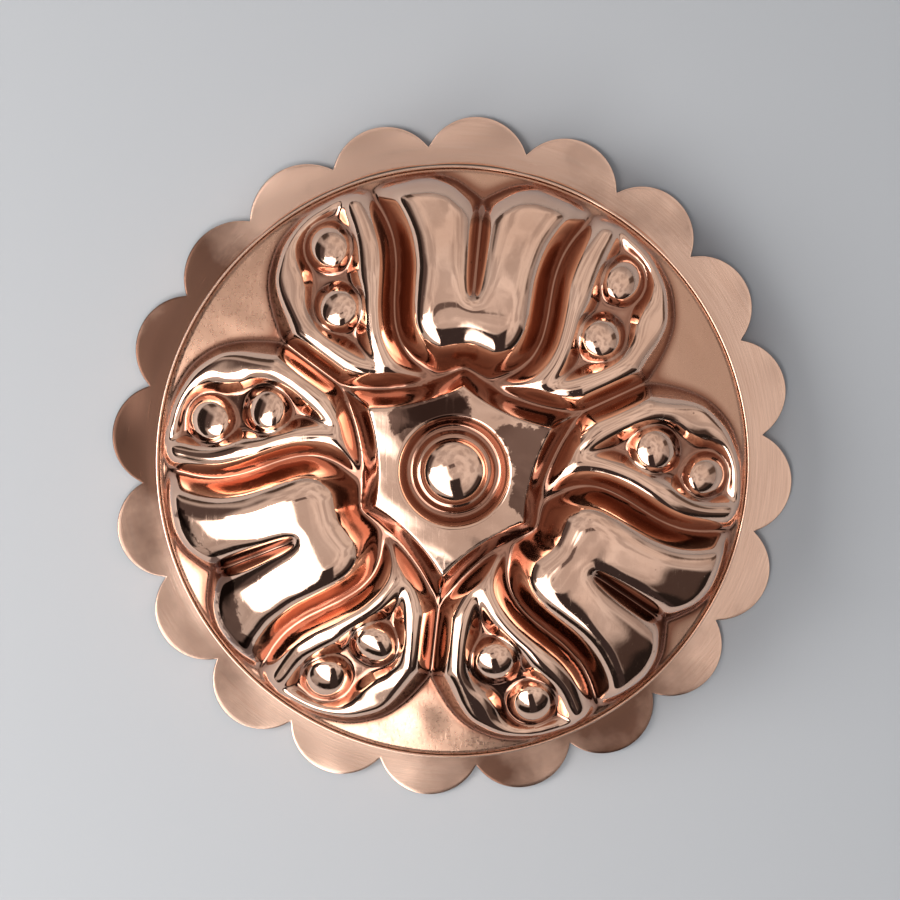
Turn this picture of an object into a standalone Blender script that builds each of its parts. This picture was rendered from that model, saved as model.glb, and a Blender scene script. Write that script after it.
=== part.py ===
"""Scalloped copper mould with three embossed tulips round a star.

The mould stands on its open side with the relief on top. Its origin is at the centre of
the underside, +Z runs up through the crown. Five pieces: a chased crown let into a side
band, a flat scalloped rim lapped on the band's foot, and the two runs of solder that hold
them together.
"""
import math

import bpy
import numpy as np

MM = 0.001

# Sheet and joints
SHEET = 0.9 * MM                 # copper sheet of all three pieces
GAP = 0.3 * MM                   # clearance where two pieces meet
EDGE_BREAK = 0.2 * MM            # cut edges are filed this much

# Side band
SHOULDER_RADIUS = 101.7 * MM     # outside of the band
SHOULDER_HEIGHT = 26.6 * MM      # top edge of the band
BAND_BEND = 1.0 * MM             # inside radius of the bend at the foot
FOOT_WIDTH = 5.0 * MM            # how far the foot is turned out past the wall

# Scalloped rim
SCALLOPS = 20
RIM_WIDTH = 18.3 * MM            # from the band out to the tips of the lobes
NOTCH_LAND = 2.8 * MM            # from the band's foot out to the notches between the lobes
FIRST_SCALLOP = math.radians(13.4)
LOBE_CUT = 2.5 * MM              # most that a hand-cut lobe falls short of the rest
CUT_LOBES = {5: 0.44, 6: 1, 7: 1, 8: 0.44, 10: -0.4, 12: -0.4}  # share of it, by lobe

# Crown
DOME_RISE = 20.4 * MM            # plain dome above the shoulder, at the middle
SHOULDER_ROUND = 1.2 * MM
LIP_DEPTH = 4.0 * MM             # turned-down edge inside the band, below its rounding
TULIPS = 3
TULIP_ANGLE = math.radians(83.7)
PAD_HEIGHT = 0.6 * MM            # the whole figure stands this far above the plain sheet
PAD_STEP = 0.8 * MM              # width of that step
WALL_LEAN = math.radians(66)     # walls of the petals at their foot, from level
WALL_SHARE = 0.42                # share of a wall's width that is straight, before it rolls over

# Star and its boss
STAR_HEIGHT = 60.8 * MM
STAR_SHORT_POINT = 28.1 * MM     # points that aim at the tulips
STAR_LONG_POINT = 34.3 * MM      # points that aim between them
STAR_HOLLOW = 2.0 * MM           # how far each side is drawn in
STAR_CROWN = 2.2 * MM            # fall of its top from the middle to a long point
STAR_WALL_ROUND = 0.14           # share of the wall taken up by its rounded top
MOAT_RADIUS = 18.9 * MM          # ring groove in the star
MOAT_DEPTH = 5.5 * MM
BOSS_RADIUS = 11.0 * MM
BOSS_RISE = 5.8 * MM             # above its collar
COLLAR_RISE = 1.8 * MM           # from the bottom of the ring groove to the foot of the boss

# Middle petal of each tulip
BELL_HEIGHT = 59.4 * MM
BELL_LEVEL_END = 45.0 * MM       # its crest falls beyond this radius
BELL_BEND = 57.0 * MM            # run over which the crest bends down
BELL_SLOPE = 0.8                 # fall over run at the end of the bend
BELL_SIDE_ROUND = 13.8 * MM      # width of its side walls
BELL_NOSE_ROUND = 5.5 * MM       # width of its wall at the shoulder
GROOVE_START = 60.0 * MM
GROOVE_ROUND = 8.8 * MM          # half the width of the groove
GROOVE_FLOOR = 1.2 * MM          # rounding of its bottom
GROOVE_SHARE = 0.55              # share of the petal's height that it cuts away

# Side petals, their hollow beds and pearls
LEAF_RISE = 11.5 * MM            # crest above the plain sheet, along the middle petal
LEAF_HEIGHT = 52.5 * MM          # no crest stands higher than this
LEAF_HEIGHT_BLEND = 3.0 * MM
LEAF_LEAN = 0.25                 # share of the rise that is lost towards the plain dome
LEAF_LEAN_START = 8.0 * MM       # from the valley
LEAF_LEAN_RUN = 30.0 * MM
LEAF_SPREAD_START = 56.0 * MM    # radius where two side petals draw apart and begin to lean
LEAF_SPREAD_RUN = 30.0 * MM
LEAF_FALL = 0.4                  # share of the rise that is lost towards the shoulder
LEAF_FALL_START = 66.0 * MM
LEAF_FALL_RUN = 34.0 * MM
LEAF_VALLEY_ROUND = 9.0 * MM     # width of the wall towards the middle petal
LEAF_PAIR_ROUND = 9.5 * MM       # width of the wall towards the next tulip
LEAF_EDGE_ROUND = 4.5 * MM       # width of the wall towards the plain dome
LEAF_NARROW_START = 42.0 * MM    # along the tulip's axis, where the one becomes the other
LEAF_NARROW_RUN = 16.0 * MM
BED_FOOT = 3.5 * MM              # foot of the bed's wall, inside the drawn line
BED_WALL = 8.0 * MM              # width of that wall, up to the crest
BED_SINK = 6.2 * MM              # floor below the crest
BED_LOWEST = -1.0 * MM           # and never lower than this from the plain sheet
PEARL_RADIUS = 7.6 * MM
PEARL_RISE = 7.0 * MM

# Solder
RIM_SOLDER_LEG = 1.4 * MM        # up the band and out over the rim
CROWN_SOLDER_LEG = 2.0 * MM      # down the inside of the band from the lip

# Mesh
SHARP_EDGE = math.radians(40)
MERGE = 0.01 * MM                # points closer than this are one
TURN_STEPS = 80                  # facets round every turned piece
SCALLOP_STEPS = 7                # facets along each lobe
CREASE_STEPS = 5                 # straight pieces between two points of a drawn line
BLANK_RINGS = 150
BLANK_STEPS = 480
CROWN_KEEP = 0.0327              # share of the fine blank's facets that the crown keeps
BALL_RINGS = (0.5, 0.8, 1.0)     # where the ball that finds the inner face is felt, as shares
BALL_STEPS = 8

# Lines of one half of a tulip, as the hammer follows them. Each point is (across, outward)
# in hundredths of the shoulder radius. The tulip's axis is across = 0.
HEEL = [(0, 33.1), (3.3, 32.2), (8.3, 30.8), (12.6, 31.8)]
VALLEY = [
    (12.6, 31.8), (16.9, 34.1), (21.2, 38.6), (23.9, 44.5), (25.1, 51.0), (25.6, 58.0),
    (26.2, 65.5), (28.0, 73.0), (30.9, 79.0), (34.4, 84.0), (37.4, 88.0),
]
NOSE = [
    (37.4, 88.0), (33.2, 90.4), (28.2, 92.7), (22.0, 94.7), (16.5, 95.4), (10.0, 94.2),
    (4.5, 91.3), (0, 88.6),
]
LEAF_EDGE = [
    (37.4, 88.0), (40.5, 87.7), (43.5, 87.0), (47.5, 85.2), (52.5, 81.7), (57.8, 77.3), (62.4, 71.7),
    (65.5, 66.4), (67.1, 60.0), (67.4, 54.0), (66.1, 47.5), (63.6, 41.2), (60.3, 34.8),
]
BED = [
    (29.4, 31.4), (31.9, 37.4), (33.4, 43.0), (34.6, 49.0), (35.4, 54.5), (37.2, 60.0),
    (37.9, 65.5), (38.7, 70.5), (40.6, 75.6), (43.2, 80.2), (45.8, 85.0), (49.0, 81.4),
    (53.6, 77.6), (57.6, 72.6), (59.4, 67.2), (58.6, 62.0), (56.6, 58.2), (55.4, 54.0),
    (54.9, 49.2), (52.6, 44.4), (48.0, 40.2), (42.0, 36.6), (35.6, 33.6), (29.4, 31.4),
]
STAR_CREASE = [
    (0, 33.1), (6.6, 28.8), (13.3, 26.2), (19.9, 24.5), (26.5, 23.3), (35.0, 22.8), (41.0, 23.7),
]
PEARLS = [(43.2, 48.5), (47.6, 67.6)]


def drawn(points):
    """Points in hundredths of the shoulder radius, in metres."""
    return np.array(points, dtype=float) * SHOULDER_RADIUS / 100


def smooth_line(points):
    """Curve through the points of one drawn line, with its two ends kept."""
    points = drawn(points)
    before = 2 * points[0] - points[1]
    after = 2 * points[-1] - points[-2]
    padded = np.vstack([before, points, after])
    line = []
    for a, b, c, d in zip(padded, padded[1:], padded[2:], padded[3:]):
        for step in range(CREASE_STEPS):
            t = step / CREASE_STEPS
            line.append(0.5 * (2 * b + (c - a) * t + (2 * a - 5 * b + 4 * c - d) * t**2
                               + (3 * b - a - 3 * c + d) * t**3))
    line.append(points[-1])
    return np.array(line)


def turned_about(points, angle):
    """Points turned clockwise about the middle of the mould."""
    cos, sin = math.cos(angle), math.sin(angle)
    return points @ np.array([[cos, -sin], [sin, cos]])


def all_round(half_line):
    """Closed outline made of a half line, its mirror image and their turned copies."""
    mirrored = half_line[::-1] * [-1, 1]
    whole = np.vstack([mirrored[:-1], half_line[:-1]])
    return np.vstack([turned_about(whole, 2 * math.pi * k / TULIPS) for k in range(TULIPS)])


def away_from(across, outward, line):
    """Distance to a line that is open at its ends."""
    nearest = np.full(across.shape, np.inf)
    for (ax, ay), (bx, by) in zip(line, line[1:]):
        ex, ey = bx - ax, by - ay
        length = ex * ex + ey * ey
        if length > 0:
            along = np.clip(((across - ax) * ex + (outward - ay) * ey) / length, 0, 1)
            nearest = np.minimum(nearest, np.hypot(across - ax - along * ex, outward - ay - along * ey))
    return nearest


def is_inside(across, outward, outline):
    """Whether each place lies inside a closed outline."""
    inside = np.zeros(across.shape, dtype=bool)
    for (ax, ay), (bx, by) in zip(outline, np.roll(outline, -1, axis=0)):
        if ay != by:
            crosses = (ay > outward) != (by > outward)
            inside ^= crosses & (across < ax + (outward - ay) * (bx - ax) / (by - ay))
    return inside


def inside_depth(across, outward, outline):
    """Distance to a closed outline, positive inside it and negative outside."""
    nearest = away_from(across, outward, np.vstack([outline, outline[:1]]))
    return np.where(is_inside(across, outward, outline), nearest, -nearest)


def lower_of(first, second, blend):
    """The lower of two surfaces, with the edge between them rounded."""
    share = np.clip(0.5 + 0.5 * (second - first) / blend, 0, 1)
    return second + (first - second) * share - blend * share * (1 - share)


def ramp(share):
    """Smooth rise from 0 to 1."""
    share = np.clip(share, 0, 1)
    return share * share * (3 - 2 * share)


def rolled(share):
    """Rise of a wall over its width: straight and steep from its foot, then rolled over level."""
    share = np.clip(share, 0, 1)
    radius = (1 - WALL_SHARE) / math.sin(WALL_LEAN)
    straight = np.minimum(share, WALL_SHARE) * math.tan(WALL_LEAN)
    to_level = 1 - np.maximum(share, WALL_SHARE)
    over = np.sqrt(radius**2 - to_level**2) - radius * math.cos(WALL_LEAN)
    full = WALL_SHARE * math.tan(WALL_LEAN) + radius * (1 - math.cos(WALL_LEAN))
    return (straight + over) / full


def fallen(radius, level_end, bend, slope):
    """How far a crest has come down: level in the middle, then bent to a steady slope."""
    past = np.maximum(radius - level_end, 0)
    return slope * np.where(past < bend, past * past / (2 * bend), past - bend / 2)


def star_outline():
    """Six points joined by sides that are drawn in towards the middle."""
    corners = []
    for k in range(2 * TULIPS):
        radius = STAR_SHORT_POINT if k % 2 == 0 else STAR_LONG_POINT
        angle = math.pi * k / TULIPS
        corners.append(np.array([radius * math.sin(angle), radius * math.cos(angle)]))
    outline = []
    for start, end in zip(corners, corners[1:] + corners[:1]):
        middle = (start + end) / 2
        inward = -middle / math.hypot(*middle)
        for step in range(2 * CREASE_STEPS):
            t = step / (2 * CREASE_STEPS)
            outline.append(start + (end - start) * t + inward * STAR_HOLLOW * 4 * t * (1 - t))
    return np.array(outline)


def crown_radius():
    """Outside of the crown's turned-down lip, which fits into the band."""
    return SHOULDER_RADIUS - SHEET - GAP


def folded(x, y):
    """Places in half a tulip, across and outward, for places in the plan of the mould."""
    radius = np.hypot(x, y)
    turn = 2 * math.pi / TULIPS
    angle = (np.arctan2(y, x) - TULIP_ANGLE + turn / 2) % turn - turn / 2
    return radius * np.abs(np.sin(angle)), radius * np.cos(angle), radius


def bell_rise(across, outward, crest):
    """Rise of the middle petal, grooved along its axis, whose crest stands at a given rise."""
    side = np.vstack([smooth_line(HEEL), smooth_line(VALLEY)])
    nose = smooth_line(NOSE)
    half = np.vstack([side, nose])
    inside = is_inside(across, outward, np.vstack([half, half[::-1] * [-1, 1]]))
    rise = crest * rolled(away_from(across, outward, side) / BELL_SIDE_ROUND)
    rise *= rolled(away_from(across, outward, nose) / BELL_NOSE_ROUND)
    to_groove = np.hypot(across, np.maximum(GROOVE_START - outward, 0))
    to_groove = np.hypot(to_groove, GROOVE_FLOOR) - GROOVE_FLOOR
    rise *= 1 - GROOVE_SHARE * (1 - rolled(to_groove / GROOVE_ROUND))
    return np.where(inside, rise, 0)


def leaf_rise(across, outward, radius, pad):
    """Rise of the side petal: a ridge round a hollow bed that holds two pearls."""
    valley_side = np.vstack([smooth_line(HEEL), smooth_line(VALLEY)])
    plain_side = np.vstack([smooth_line(LEAF_EDGE), smooth_line(STAR_CREASE)[::-1]])
    inside = is_inside(across, outward, np.vstack([valley_side, plain_side]))
    to_valley = away_from(across, outward, valley_side)

    lean = LEAF_LEAN * ramp((to_valley - LEAF_LEAN_START) / LEAF_LEAN_RUN)
    lean *= ramp((radius - LEAF_SPREAD_START) / LEAF_SPREAD_RUN)
    fall = LEAF_FALL * ramp((radius - LEAF_FALL_START) / LEAF_FALL_RUN)
    crest = lower_of(LEAF_RISE * (1 - lean) * (1 - fall), LEAF_HEIGHT - pad, LEAF_HEIGHT_BLEND)

    narrowed = ramp((outward - LEAF_NARROW_START) / LEAF_NARROW_RUN)
    plain_round = LEAF_PAIR_ROUND + (LEAF_EDGE_ROUND - LEAF_PAIR_ROUND) * narrowed
    rise = crest * rolled(to_valley / LEAF_VALLEY_ROUND)
    rise *= rolled(away_from(across, outward, plain_side) / plain_round)

    floor = np.maximum(crest - BED_SINK, BED_LOWEST)
    bed_depth = inside_depth(across, outward, smooth_line(BED))
    rise += (floor - rise) * (1 - rolled((BED_FOOT - bed_depth) / BED_WALL))
    for pearl in drawn(PEARLS):
        away = np.hypot(across - pearl[0], outward - pearl[1]) / PEARL_RADIUS
        ball = floor + PEARL_RISE * np.sqrt(np.maximum(1 - away**2, 0))
        rise = np.where(away < 1, np.maximum(rise, ball), rise)
    return np.where(inside, rise, 0)


def star_climb(across, outward):
    """Share of the way from the ground up to the star's top."""
    into_foot = inside_depth(across, outward, all_round(smooth_line(STAR_CREASE)))
    from_top = np.maximum(-inside_depth(across, outward, star_outline()), 0)
    climb = np.clip(into_foot / np.maximum(into_foot + from_top, 1e-9), 0, 1)
    climb = lower_of(climb, np.ones_like(climb), STAR_WALL_ROUND)
    return np.clip(np.where(into_foot > 0, climb / (1 - STAR_WALL_ROUND / 4), 0), 0, 1)


def star_top(radius):
    """Height of the star's top, with its ring groove and its boss on a collar."""
    moat_middle = (MOAT_RADIUS + BOSS_RADIUS) / 2
    moat = MOAT_DEPTH * ramp((MOAT_RADIUS - radius) / (MOAT_RADIUS - moat_middle))
    collar = COLLAR_RISE * ramp((moat_middle - radius) / (moat_middle - BOSS_RADIUS))
    boss = BOSS_RISE * np.sqrt(np.maximum(1 - (radius / BOSS_RADIUS) ** 2, 0))
    return STAR_HEIGHT - STAR_CROWN * (radius / STAR_LONG_POINT) ** 2 - moat + collar + boss


def crown_height(x, y):
    """Height of the crown's outer face over each point of the plan."""
    across, outward, radius = folded(x, y)
    figure = all_round(np.vstack([smooth_line(NOSE)[::-1][:-1], smooth_line(LEAF_EDGE)]))
    dome = SHOULDER_HEIGHT + DOME_RISE * (1 - (radius / crown_radius()) ** 2)
    pad = dome + PAD_HEIGHT * ramp(inside_depth(across, outward, figure) / PAD_STEP)
    bell_crest = BELL_HEIGHT - fallen(radius, BELL_LEVEL_END, BELL_BEND, BELL_SLOPE) - pad
    ground = pad + bell_rise(across, outward, np.maximum(bell_crest, 0))
    ground += leaf_rise(across, outward, radius, pad)
    return ground + (star_top(radius) - ground) * star_climb(across, outward)


def inner_height(x, y):
    """Height of the sheet's inner face: the lowest reach of a ball, one sheet in radius,
    whose middle keeps to the outer face. It holds the sheet's thickness on steep walls
    and never folds in a narrow hollow."""
    lowest = crown_height(x, y) - SHEET
    for share in BALL_RINGS:
        below = SHEET * math.sqrt(1 - share * share)
        for k in range(BALL_STEPS):
            heading = 2 * math.pi * k / BALL_STEPS
            aside = share * SHEET * math.cos(heading)
            ahead = share * SHEET * math.sin(heading)
            lowest = np.minimum(lowest, crown_height(x + aside, y + ahead) - below)
    return lowest


def parts_collection():
    """Empty the scene and make the collection that holds the mould."""
    for old in list(bpy.data.objects):
        bpy.data.objects.remove(old, do_unlink=True)
    collection = bpy.data.collections.new("copper_mould")
    bpy.context.scene.collection.children.link(collection)
    return collection


def metal(name, colour, roughness):
    material = bpy.data.materials.new(name)
    material.use_nodes = True
    shader = material.node_tree.nodes["Principled BSDF"]
    shader.inputs["Base Color"].default_value = (*colour, 1)
    shader.inputs["Roughness"].default_value = roughness
    shader.inputs["Metallic"].default_value = 1
    return material


def add_object(name, data, material, collection):
    piece = bpy.data.objects.new(name, data)
    piece.data.materials.append(material)
    collection.objects.link(piece)
    return piece


def profile_object(name, points, closed, material, collection):
    """A line of points in the XZ plane, ready to be turned about Z."""
    mesh = bpy.data.meshes.new(name)
    edges = [(i, i + 1) for i in range(len(points) - 1)]
    if closed:
        edges.append((len(points) - 1, 0))
    mesh.from_pydata([(x, 0, z) for x, z in points], edges, [])
    return add_object(name, mesh, material, collection)


def turn(piece, steps):
    """Turn a profile all the way about Z."""
    screw = piece.modifiers.new("turned", "SCREW")
    screw.steps = steps
    screw.render_steps = steps
    screw.use_merge_vertices = True
    screw.merge_threshold = MERGE
    screw.use_smooth_shade = True
    return screw


def apply_modifiers(piece):
    """Replace a piece's mesh by the one its modifiers give."""
    bpy.context.view_layer.update()
    graph = bpy.context.evaluated_depsgraph_get()
    finished = bpy.data.meshes.new_from_object(piece.evaluated_get(graph))
    piece.modifiers.clear()
    piece.data = finished


def smooth_shading(piece):
    piece.data.shade_smooth()
    piece.data.set_sharp_from_angle(angle=SHARP_EDGE)


def arc(centre_x, centre_z, radius, start, end, steps):
    """Points along an arc, angles in degrees from +X towards +Z."""
    return [
        (centre_x + radius * math.cos(math.radians(start + (end - start) * k / steps)),
         centre_z + radius * math.sin(math.radians(start + (end - start) * k / steps)))
        for k in range(steps + 1)
    ]


def vertex_places(piece):
    places = np.empty(len(piece.data.vertices) * 3)
    piece.data.vertices.foreach_get("co", places)
    return places.reshape(-1, 3)


def inner_face(outer, flat):
    """Places on the inner face of the sheet under places on its outer face."""
    x, y, z = outer.T
    radius = np.hypot(x, y)
    drop = z - crown_height(x, y)
    past = np.maximum(radius - flat, 0)
    tighter = (SHOULDER_ROUND - SHEET) / SHOULDER_ROUND
    turned_in = (flat + past * tighter) / np.maximum(radius, flat)
    on_round = -SHOULDER_ROUND + (drop + SHOULDER_ROUND) * tighter
    lip_drop = np.where(drop > -SHOULDER_ROUND, on_round, drop)
    on_lip = radius > flat
    inner_x = np.where(on_lip, x * turned_in, x)
    inner_y = np.where(on_lip, y * turned_in, y)
    inner_z = np.where(on_lip, z - drop + lip_drop, inner_height(x, y))
    return np.stack([inner_x, inner_y, inner_z], axis=1)


def embossed_crown(material, collection):
    """One sheet: a turned blank with a lip, embossed, then given its thickness."""
    edge = crown_radius()
    flat = edge - SHOULDER_ROUND
    blank = [(flat * k / BLANK_RINGS, 0) for k in range(BLANK_RINGS)]
    blank += arc(flat, -SHOULDER_ROUND, SHOULDER_ROUND, 90, 0, 3)
    blank.append((edge, -SHOULDER_ROUND - LIP_DEPTH))
    crown = profile_object("embossed_crown", blank, False, material, collection)
    turn(crown, BLANK_STEPS)
    apply_modifiers(crown)

    places = vertex_places(crown)
    places[:, 2] += crown_height(places[:, 0], places[:, 1])
    crown.data.vertices.foreach_set("co", places.ravel())

    thin_out = crown.modifiers.new("fewer_facets", "DECIMATE")
    thin_out.ratio = CROWN_KEEP
    apply_modifiers(crown)
    inner = inner_face(vertex_places(crown), flat)

    sheet = crown.modifiers.new("sheet", "SOLIDIFY")
    sheet.thickness = SHEET
    sheet.offset = -1
    apply_modifiers(crown)
    places = vertex_places(crown)
    places[len(inner):] = inner
    crown.data.vertices.foreach_set("co", places.ravel())
    crown.data.update()
    smooth_shading(crown)
    return crown


def side_band(material, collection):
    """The drum wall: one strip with its foot turned out to carry the rim."""
    wall = SHOULDER_RADIUS
    inner = wall - SHEET
    top = SHOULDER_HEIGHT
    foot = wall + FOOT_WIDTH
    bend = BAND_BEND
    section = [(inner, top - EDGE_BREAK), (inner + EDGE_BREAK, top), (wall - EDGE_BREAK, top)]
    section.append((wall, top - EDGE_BREAK))
    section += arc(wall + bend, SHEET + bend, bend, 180, 270, 2)
    section += [(foot, SHEET), (foot, 0)]
    section += arc(wall + bend, SHEET + bend, bend + SHEET, 270, 180, 2)
    band = profile_object("side_band", section, True, material, collection)
    turn(band, TURN_STEPS)
    smooth_shading(band)
    return band


def rim_outline():
    """Scalloped edge: one arc a lobe, from notch to notch."""
    outline = []
    pitch = 2 * math.pi / SCALLOPS
    notch = SHOULDER_RADIUS + FOOT_WIDTH + NOTCH_LAND
    for k in range(SCALLOPS):
        tip = SHOULDER_RADIUS + RIM_WIDTH - LOBE_CUT * CUT_LOBES.get(k, 0)
        centre = (tip**2 - notch**2) / (2 * (tip - notch * math.cos(pitch / 2)))
        sweep = math.atan2(notch * math.sin(pitch / 2), notch * math.cos(pitch / 2) - centre)
        middle = FIRST_SCALLOP + k * pitch
        for step in range(SCALLOP_STEPS):
            direction = middle + sweep * (2 * step / SCALLOP_STEPS - 1)
            outline.append((
                centre * math.cos(middle) + (tip - centre) * math.cos(direction),
                centre * math.sin(middle) + (tip - centre) * math.sin(direction),
            ))
    return outline


def scalloped_rim(material, collection):
    """Flat ring lapped on the band's turned-out foot, with a hole that clears the bend."""
    hole = SHOULDER_RADIUS + BAND_BEND + GAP
    inner = [
        (hole * math.cos(2 * math.pi * k / TURN_STEPS), hole * math.sin(2 * math.pi * k / TURN_STEPS))
        for k in range(TURN_STEPS)
    ]
    flat = bpy.data.curves.new("scalloped_rim", "CURVE")
    flat.dimensions = "2D"
    flat.fill_mode = "BOTH"
    flat.bevel_resolution = 0
    flat.bevel_depth = EDGE_BREAK
    flat.offset = -EDGE_BREAK
    flat.extrude = SHEET / 2 - EDGE_BREAK
    for outline in (rim_outline(), inner):
        line = flat.splines.new("POLY")
        line.points.add(len(outline) - 1)
        for point, (x, y) in zip(line.points, outline):
            point.co = (x, y, 0, 1)
        line.use_cyclic_u = True
    rim = add_object("scalloped_rim", flat, material, collection)
    rim.location.z = SHEET + GAP + SHEET / 2
    weld = rim.modifiers.new("closed", "WELD")
    weld.merge_threshold = MERGE
    return rim


def solder_run(name, corner, reach, material, collection):
    """Run of solder in a corner: reach is how far it spreads along each of the two sheets."""
    x, z = corner
    across, up = reach
    section = [(x, z), (x + across, z)]
    section += [
        (x + across * (1 - math.sin(math.radians(angle))), z + up * (1 - math.cos(math.radians(angle))))
        for angle in (30, 60)
    ]
    section.append((x, z + up))
    if across * up > 0:
        section.reverse()
    run = profile_object(name, section, True, material, collection)
    turn(run, TURN_STEPS)
    smooth_shading(run)
    return run


def main():
    collection = parts_collection()
    copper = metal("copper", (0.72, 0.34, 0.22), 0.2)
    solder = metal("solder", (0.55, 0.53, 0.5), 0.4)
    embossed_crown(copper, collection)
    side_band(copper, collection)
    scalloped_rim(copper, collection)
    rim_top = 2 * SHEET + GAP
    solder_run(
        "rim_solder", (SHOULDER_RADIUS + GAP, rim_top + GAP), (RIM_SOLDER_LEG, RIM_SOLDER_LEG),
        solder, collection,
    )
    lip_end = SHOULDER_HEIGHT - SHOULDER_ROUND - LIP_DEPTH
    solder_run(
        "crown_solder", (crown_radius(), lip_end - GAP), (-SHEET, -CROWN_SOLDER_LEG), solder, collection,
    )


main()
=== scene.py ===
import math

import bpy
import mathutils
import numpy as np
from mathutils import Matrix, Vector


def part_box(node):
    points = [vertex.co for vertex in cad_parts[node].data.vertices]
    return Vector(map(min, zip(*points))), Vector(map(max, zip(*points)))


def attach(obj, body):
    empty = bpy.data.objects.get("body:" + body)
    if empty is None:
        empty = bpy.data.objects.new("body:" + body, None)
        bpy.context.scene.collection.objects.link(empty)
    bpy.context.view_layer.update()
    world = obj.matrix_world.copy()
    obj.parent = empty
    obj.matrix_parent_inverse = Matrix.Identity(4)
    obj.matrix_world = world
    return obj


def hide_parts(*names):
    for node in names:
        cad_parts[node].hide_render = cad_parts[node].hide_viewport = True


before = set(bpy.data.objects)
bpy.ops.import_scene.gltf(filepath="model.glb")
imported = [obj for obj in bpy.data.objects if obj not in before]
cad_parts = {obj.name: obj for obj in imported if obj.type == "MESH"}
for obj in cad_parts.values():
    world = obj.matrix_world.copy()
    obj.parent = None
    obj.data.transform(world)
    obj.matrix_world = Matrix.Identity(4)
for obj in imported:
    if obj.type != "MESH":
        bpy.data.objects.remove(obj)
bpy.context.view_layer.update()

# Side band: the drum wall, a strip of copper bent round, brazed up its seam and planished.
# Its foot is turned out flat to stand on and to carry the rim. The outside is polished,
# the inside wiped with tin.
MM = 0.001
(_, _, _), (foot_radius, _, shoulder_height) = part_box("side_band")
sheet = 0.9 * MM
foot_width = 5.0 * MM
bend_radius = 1.0 * MM
shoulder_radius = foot_radius - foot_width


def arc(centre_x, centre_z, radius, start, end, steps):
    """Points along an arc, angles in degrees from +X towards +Z."""
    turns = np.radians(np.linspace(start, end, steps + 1))
    return [(centre_x + radius * math.cos(t), centre_z + radius * math.sin(t)) for t in turns]


def grid_faces(rows, columns):
    """Quads of a grid of points that closes on itself both ways."""
    faces = []
    for r in range(rows):
        row, following = r * columns, (r + 1) % rows * columns
        for c in range(columns):
            beside = (c + 1) % columns
            faces.append((row + c, row + beside, following + beside, following + c))
    return faces


def add_piece(name, points, faces, slot, *nodes):
    """A smooth mesh piece that rides on the mould and stands for CAD nodes."""
    mesh = bpy.data.meshes.new(name)
    mesh.from_pydata([tuple(p) for p in points], [], faces)
    mesh.shade_smooth()
    piece = bpy.data.objects.new(name, mesh)
    bpy.context.scene.collection.objects.link(piece)
    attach(piece, "root")
    if nodes:
        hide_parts(*nodes)
    return piece


def turned(section, steps):
    """Points of a closed section turned about Z, one row to each point of the section."""
    turns = np.arange(steps) * 2 * math.pi / steps
    return np.vstack([
        np.stack([x * np.cos(turns), x * np.sin(turns), np.full(steps, z)], 1) for x, z in section
    ])


def linear(hex_colour):
    """An sRGB hex colour as linear RGBA."""
    channels = [int(hex_colour[i:i + 2], 16) / 255 for i in (0, 2, 4)]
    return (*[c / 12.92 if c <= 0.04045 else ((c + 0.055) / 1.055) ** 2.4 for c in channels], 1)


def node(tree, kind, inputs=(), **settings):
    """Add a shader node with its settings, and its inputs as values or links."""
    made = tree.nodes.new("ShaderNode" + kind)
    for name, value in settings.items():
        setattr(made, name, value)
    for key, value in dict(inputs).items():
        if isinstance(value, bpy.types.NodeSocket):
            tree.links.new(value, made.inputs[key])
        else:
            made.inputs[key].default_value = value
    return made


def new_metal(name):
    """A material with a fully metallic shader: its node tree and that shader."""
    material = bpy.data.materials.new(name)
    material.use_nodes = True
    shader = material.node_tree.nodes["Principled BSDF"]
    shader.inputs["Metallic"].default_value = 1
    return material, material.node_tree, shader


# Copper bares a pale pink where it is rubbed, dulls to a warmer tone, and browns where no
# cloth reaches. The same brown is also painted on the crown as shade, in its creases and
# on its steep walls.
copper_fresh = linear("f6cfb8")
copper_worn = linear("e4b9a1")
tarnish_and_shade_brown = linear("7d3a20")


def band_copper():
    """Planished copper: broad soft hammer facets under a hand polish, with fine rubbing lines
    round the wall. It gives a bright but slightly wavy shine."""
    material, tree, shader = new_metal("planished_copper")
    place = node(tree, "TexCoord").outputs["Object"]
    facets = node(tree, "TexVoronoi", {"Vector": place, "Scale": 1 / (9 * MM)}, feature="SMOOTH_F1")
    stain = node(tree, "TexNoise", {"Vector": place, "Scale": 1 / (22 * MM), "Detail": 6.0})
    stretched = node(tree, "Mapping", {"Vector": place, "Scale": (1, 1, 24)})
    rubbing = node(tree, "TexNoise", {
        "Vector": stretched.outputs[0], "Scale": 1 / (14 * MM), "Detail": 8.0,
    })
    tone = node(tree, "Mix", {
        0: stain.outputs["Fac"], "A": copper_fresh, "B": copper_worn,
    }, data_type="RGBA")
    tree.links.new(tone.outputs["Result"], shader.inputs["Base Color"])
    rough = node(tree, "MapRange", {"Value": rubbing.outputs["Fac"], "To Min": 0.12, "To Max": 0.3})
    tree.links.new(rough.outputs[0], shader.inputs["Roughness"])
    hammer = node(tree, "Bump", {
        "Height": facets.outputs["Distance"], "Strength": 0.1, "Distance": 0.3 * MM,
    })
    lines = node(tree, "Bump", {
        "Height": rubbing.outputs["Fac"], "Strength": 0.12, "Distance": 0.05 * MM,
        "Normal": hammer.outputs[0],
    })
    tree.links.new(lines.outputs[0], shader.inputs["Normal"])
    return material


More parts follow.
